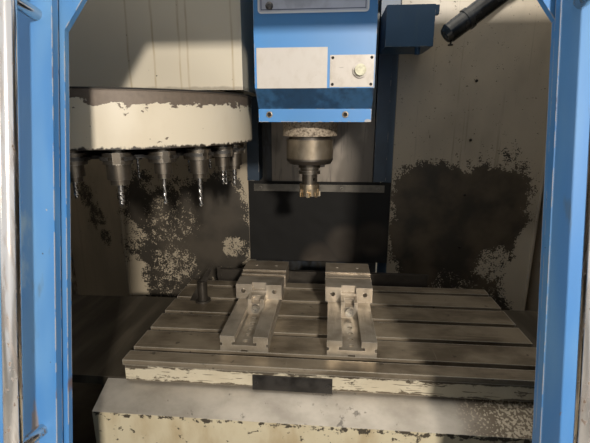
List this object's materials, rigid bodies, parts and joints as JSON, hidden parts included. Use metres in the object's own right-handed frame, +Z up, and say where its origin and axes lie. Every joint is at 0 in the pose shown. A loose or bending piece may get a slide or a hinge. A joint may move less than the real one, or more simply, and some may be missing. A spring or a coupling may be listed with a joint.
{
  "type": "cnc machining center",
  "caption": "Vertical machining centre with open sliding doors, chamfered head, T-slot table with two vises, and a round tool magazine.",
  "frame": {"origin": "on the floor, under the spindle axis, in the middle of the four front foundation bolt holes", "axes": "+X to the operator's right, +Y from the doors to the column, +Z up along the spindle"},
  "size_m": [2.47, 1.9797, 2.3605],
  "materials": {
    "blue_paint": "semi-gloss blue machine paint, scuffed, rust at edges",
    "dark_blue_paint": "blue paint, stained",
    "cream_paint": "cream paint with chips, oil stains and runs",
    "bare_steel": "ground steel, dull, oily",
    "dark_steel": "oil-darkened steel",
    "cast_iron": "cast iron, painted grey-green",
    "black_rubber": "black rubber sheet",
    "chrome_tube": "chromed tube, worn",
    "grey_sheet": "grey sheet, dirty",
    "white_plate": "white enamelled plate, dirty",
    "silver_plate": "satin plate with pale border",
    "motor_black": "black motor paint",
    "ground_screw": "ground ball screw",
    "gold_inserts": "coated cutter with golden inserts",
    "ivory_plastic": "ivory push button",
    "red_plastic": "red mushroom button"
  },
  "bodies": {
    "frame": {"base": "blue_paint", "leveling_pads": "bare_steel", "servo_motors": "motor_black", "column": "blue_paint", "column_covers": "dark_blue_paint", "left_back_wall": "cream_paint", "right_back_wall": "cream_paint", "side_walls": "blue_paint", "front_frame": "blue_paint", "lower_front": "blue_paint", "chip_tray": "dark_steel", "rubber_apron": "black_rubber", "apron_clamp_strip": "bare_steel", "side_box": "blue_paint", "work_lamp": "dark_steel", "magazine_bracket": "cream_paint", "magazine_cover": "cream_paint", "rear_cabinet": "cream_paint", "operator_panel": "cream_paint"},
    "stop_button": {"e_stop": "red_plastic"},
    "saddle": {"saddle": "cast_iron", "saddle_front_cover": "cream_paint", "x_servo_motor": "motor_black", "fixed_way_covers": "bare_steel", "rear_bar": "dark_steel"},
    "table": {"table": "bare_steel", "table_front_plate": "dark_steel", "table_way_covers": "bare_steel", "vise_bodies": "bare_steel", "vise_fixed_jaws": "bare_steel", "table_post": "dark_steel"},
    "mid_covers": {"mid_way_covers": "bare_steel"},
    "left_jaw": {"left_vise_jaw": "bare_steel"},
    "right_jaw": {"right_vise_jaw": "bare_steel"},
    "left_jaw_screw": {"left_vise_screw": "bare_steel"},
    "right_jaw_screw": {"right_vise_screw": "bare_steel"},
    "head": {"head_casting": "cast_iron", "head_cover": "blue_paint", "blank_plate": "white_plate", "name_plate": "silver_plate", "button_plate": "white_plate", "spindle_motor": "motor_black", "z_panel": "grey_sheet", "spindle_cartridge": "bare_steel"},
    "push_button": {"push_button": "ivory_plastic"},
    "spindle": {"spindle": "bare_steel", "tool_holder": "bare_steel", "face_mill": "gold_inserts"},
    "magazine": {"drum_cover": "cream_paint", "magazine_carriage": "cast_iron"},
    "carousel": {"carousel": "cast_iron", "magazine_holders": "bare_steel", "magazine_cutters": "dark_steel"},
    "left_leaf": {"left_door": "blue_paint", "left_handle": "chrome_tube"},
    "right_leaf": {"right_door": "blue_paint", "right_handle": "chrome_tube"},
    "x_screw": {"x_ball_screw": "ground_screw"},
    "y_screw": {"y_ball_screw": "ground_screw"},
    "z_screw": {"z_ball_screw": "ground_screw"}
  },
  "joints": [
    {"name": "table_x", "type": "slide", "parent": "saddle", "child": "table", "axis": [1, 0, 0], "range_m": [-0.418, 0.262]},
    {"name": "saddle_y", "type": "slide", "parent": "frame", "child": "saddle", "axis": [0, 1, 0], "range_m": [-0.19, 0.26]},
    {"name": "head_z", "type": "slide", "parent": "frame", "child": "head", "axis": [0, 0, 1], "range_m": [-0.235, 0.23]},
    {"name": "mid_cover_slide", "type": "slide", "parent": "saddle", "child": "mid_covers", "axis": [1, 0, 0], "range_m": [-0.21, 0.132]},
    {"name": "x_screw_turn", "type": "hinge", "parent": "saddle", "child": "x_screw", "pos_m": [0, -0.085, 0.68], "axis": [1, 0, 0], "range_deg": [-15051, 9435]},
    {"name": "y_screw_turn", "type": "hinge", "parent": "frame", "child": "y_screw", "pos_m": [0, 0, 0.5], "axis": [0, 1, 0], "range_deg": [-6843, 9363]},
    {"name": "z_screw_turn", "type": "hinge", "parent": "frame", "child": "z_screw", "pos_m": [0, 0.535, 1.5], "axis": [0, 0, 1], "range_deg": [-8463, 8283]},
    {"name": "spindle_turn", "type": "hinge", "parent": "head", "child": "spindle", "pos_m": [0, 0, 1.312], "axis": [0, 0, 1], "continuous": true},
    {"name": "push_button_press", "type": "slide", "parent": "head", "child": "push_button", "axis": [0, 1, 0], "range_m": [0, 0.004], "stiffness_N_per_m": 400},
    {"name": "magazine_advance", "type": "slide", "parent": "frame", "child": "magazine", "axis": [1, 0, 0], "range_m": [0, 0.04]},
    {"name": "carousel_turn", "type": "hinge", "parent": "magazine", "child": "carousel", "pos_m": [-0.526, 0, 1.4], "axis": [0, 0, 1], "continuous": true},
    {"name": "left_door_slide", "type": "slide", "parent": "frame", "child": "left_leaf", "axis": [1, 0, 0], "range_m": [0, 0.36]},
    {"name": "right_door_slide", "type": "slide", "parent": "frame", "child": "right_leaf", "axis": [-1, 0, 0], "range_m": [0, 0.36]},
    {"name": "left_jaw_slide", "type": "slide", "parent": "table", "child": "left_jaw", "axis": [0, -1, 0], "range_m": [0, 0.13]},
    {"name": "right_jaw_slide", "type": "slide", "parent": "table", "child": "right_jaw", "axis": [0, -1, 0], "range_m": [0, 0.13]},
    {"name": "left_jaw_screw_turn", "type": "hinge", "parent": "left_jaw", "child": "left_jaw_screw", "pos_m": [-0.143, -0.1223, 0.917], "axis": [0, -1, 0], "range_deg": [0, 9362]},
    {"name": "right_jaw_screw_turn", "type": "hinge", "parent": "right_jaw", "child": "right_jaw_screw", "pos_m": [0.119, -0.1223, 0.917], "axis": [0, -1, 0], "range_deg": [0, 9362]},
    {"name": "stop_button_press", "type": "slide", "parent": "frame", "child": "stop_button", "axis": [0, 0.9925, -0.1219], "range_m": [0, 0.005], "stiffness_N_per_m": 600}
  ],
  "couplings": [
    {"joint": "mid_cover_slide", "follows": "table_x", "ratio": 0.5},
    {"joint": "x_screw_turn", "follows": "table_x", "rad_per_m": 628.32},
    {"joint": "y_screw_turn", "follows": "saddle_y", "rad_per_m": 628.32},
    {"joint": "z_screw_turn", "follows": "head_z", "rad_per_m": 628.32},
    {"joint": "left_jaw_screw_turn", "follows": "left_jaw_slide", "rad_per_m": 1256.6},
    {"joint": "right_jaw_screw_turn", "follows": "right_jaw_slide", "rad_per_m": 1256.6}
  ]
}
